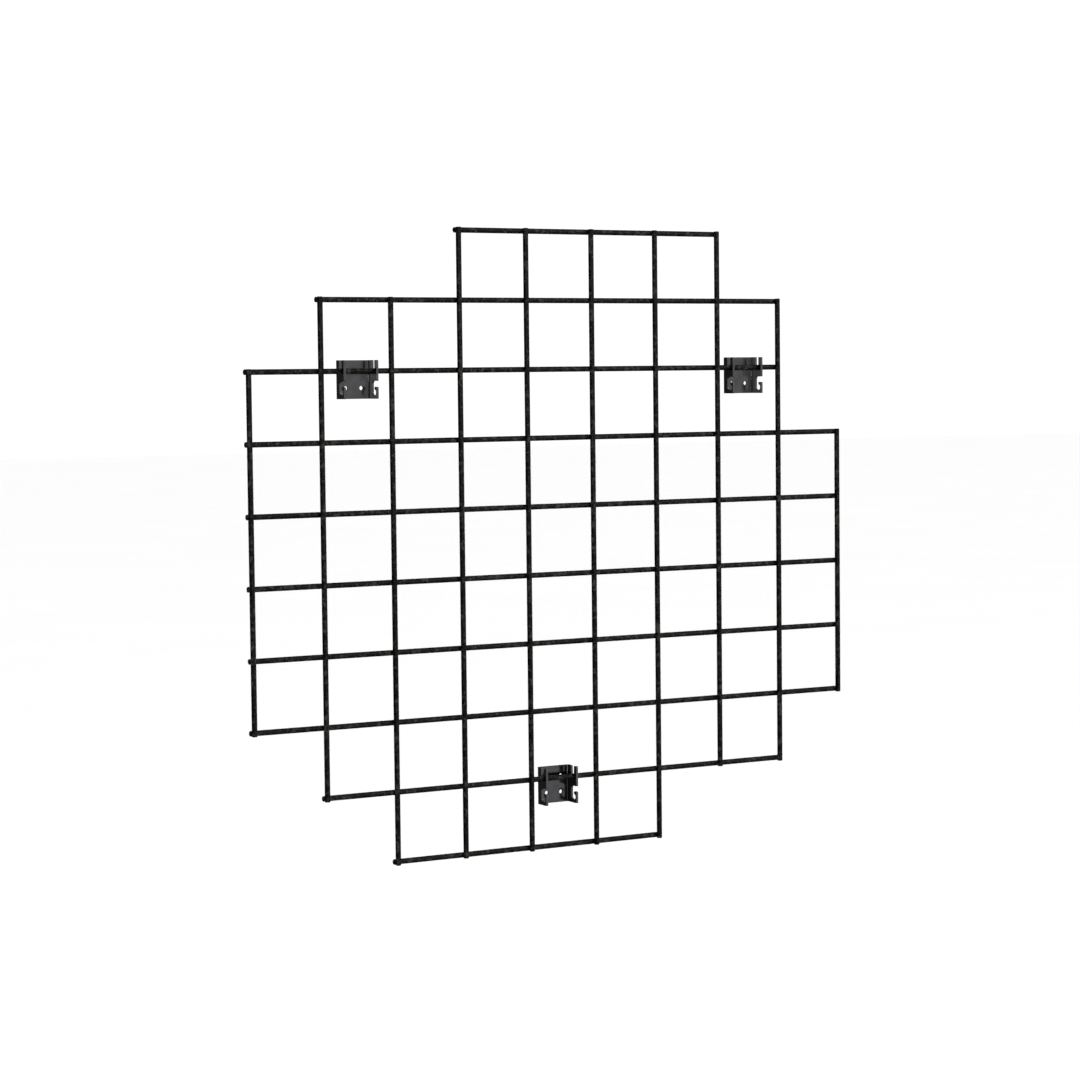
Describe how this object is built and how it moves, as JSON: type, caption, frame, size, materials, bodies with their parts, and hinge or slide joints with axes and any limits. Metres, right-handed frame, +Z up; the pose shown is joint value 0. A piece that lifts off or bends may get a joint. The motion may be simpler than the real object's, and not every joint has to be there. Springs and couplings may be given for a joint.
{
  "type": "wire grid tool wall",
  "caption": "Wall-mounted welded wire grid panel with a stepped, roughly round outline, hung in open-topped slots of U-shaped sheet-metal brackets; accessories clip into its cells.",
  "frame": {"origin": "on the wall plane, at the centre of the upper left bracket's four screw holes", "axes": "+X to the right seen from the room, +Y into the wall, +Z up"},
  "size_m": [0.7552, 0.0216, 0.6922],
  "materials": {
    "wire_coating": "black powder coat with a fine hammered texture",
    "bracket_coating": "glossy dark grey finish on bent sheet"
  },
  "bodies": {
    "wall_brackets": {"upper_left_bracket": "bracket_coating", "upper_right_bracket": "bracket_coating", "lower_bracket": "bracket_coating"},
    "grid_panel": {"cross_wire_01": "wire_coating", "cross_wire_02": "wire_coating", "cross_wire_03": "wire_coating", "cross_wire_04": "wire_coating", "cross_wire_05": "wire_coating", "cross_wire_06": "wire_coating", "cross_wire_07": "wire_coating", "cross_wire_08": "wire_coating", "cross_wire_09": "wire_coating", "cross_wire_10": "wire_coating", "upright_wire_01": "wire_coating", "upright_wire_02": "wire_coating", "upright_wire_03": "wire_coating", "upright_wire_04": "wire_coating", "upright_wire_05": "wire_coating", "upright_wire_06": "wire_coating", "upright_wire_07": "wire_coating", "upright_wire_08": "wire_coating", "upright_wire_09": "wire_coating", "upright_wire_10": "wire_coating"}
  },
  "joints": [
    {"name": "panel_lift", "type": "slide", "parent": "wall_brackets", "child": "grid_panel", "axis": [0, 0, 1], "range_m": [0, 0.02]}
  ]
}
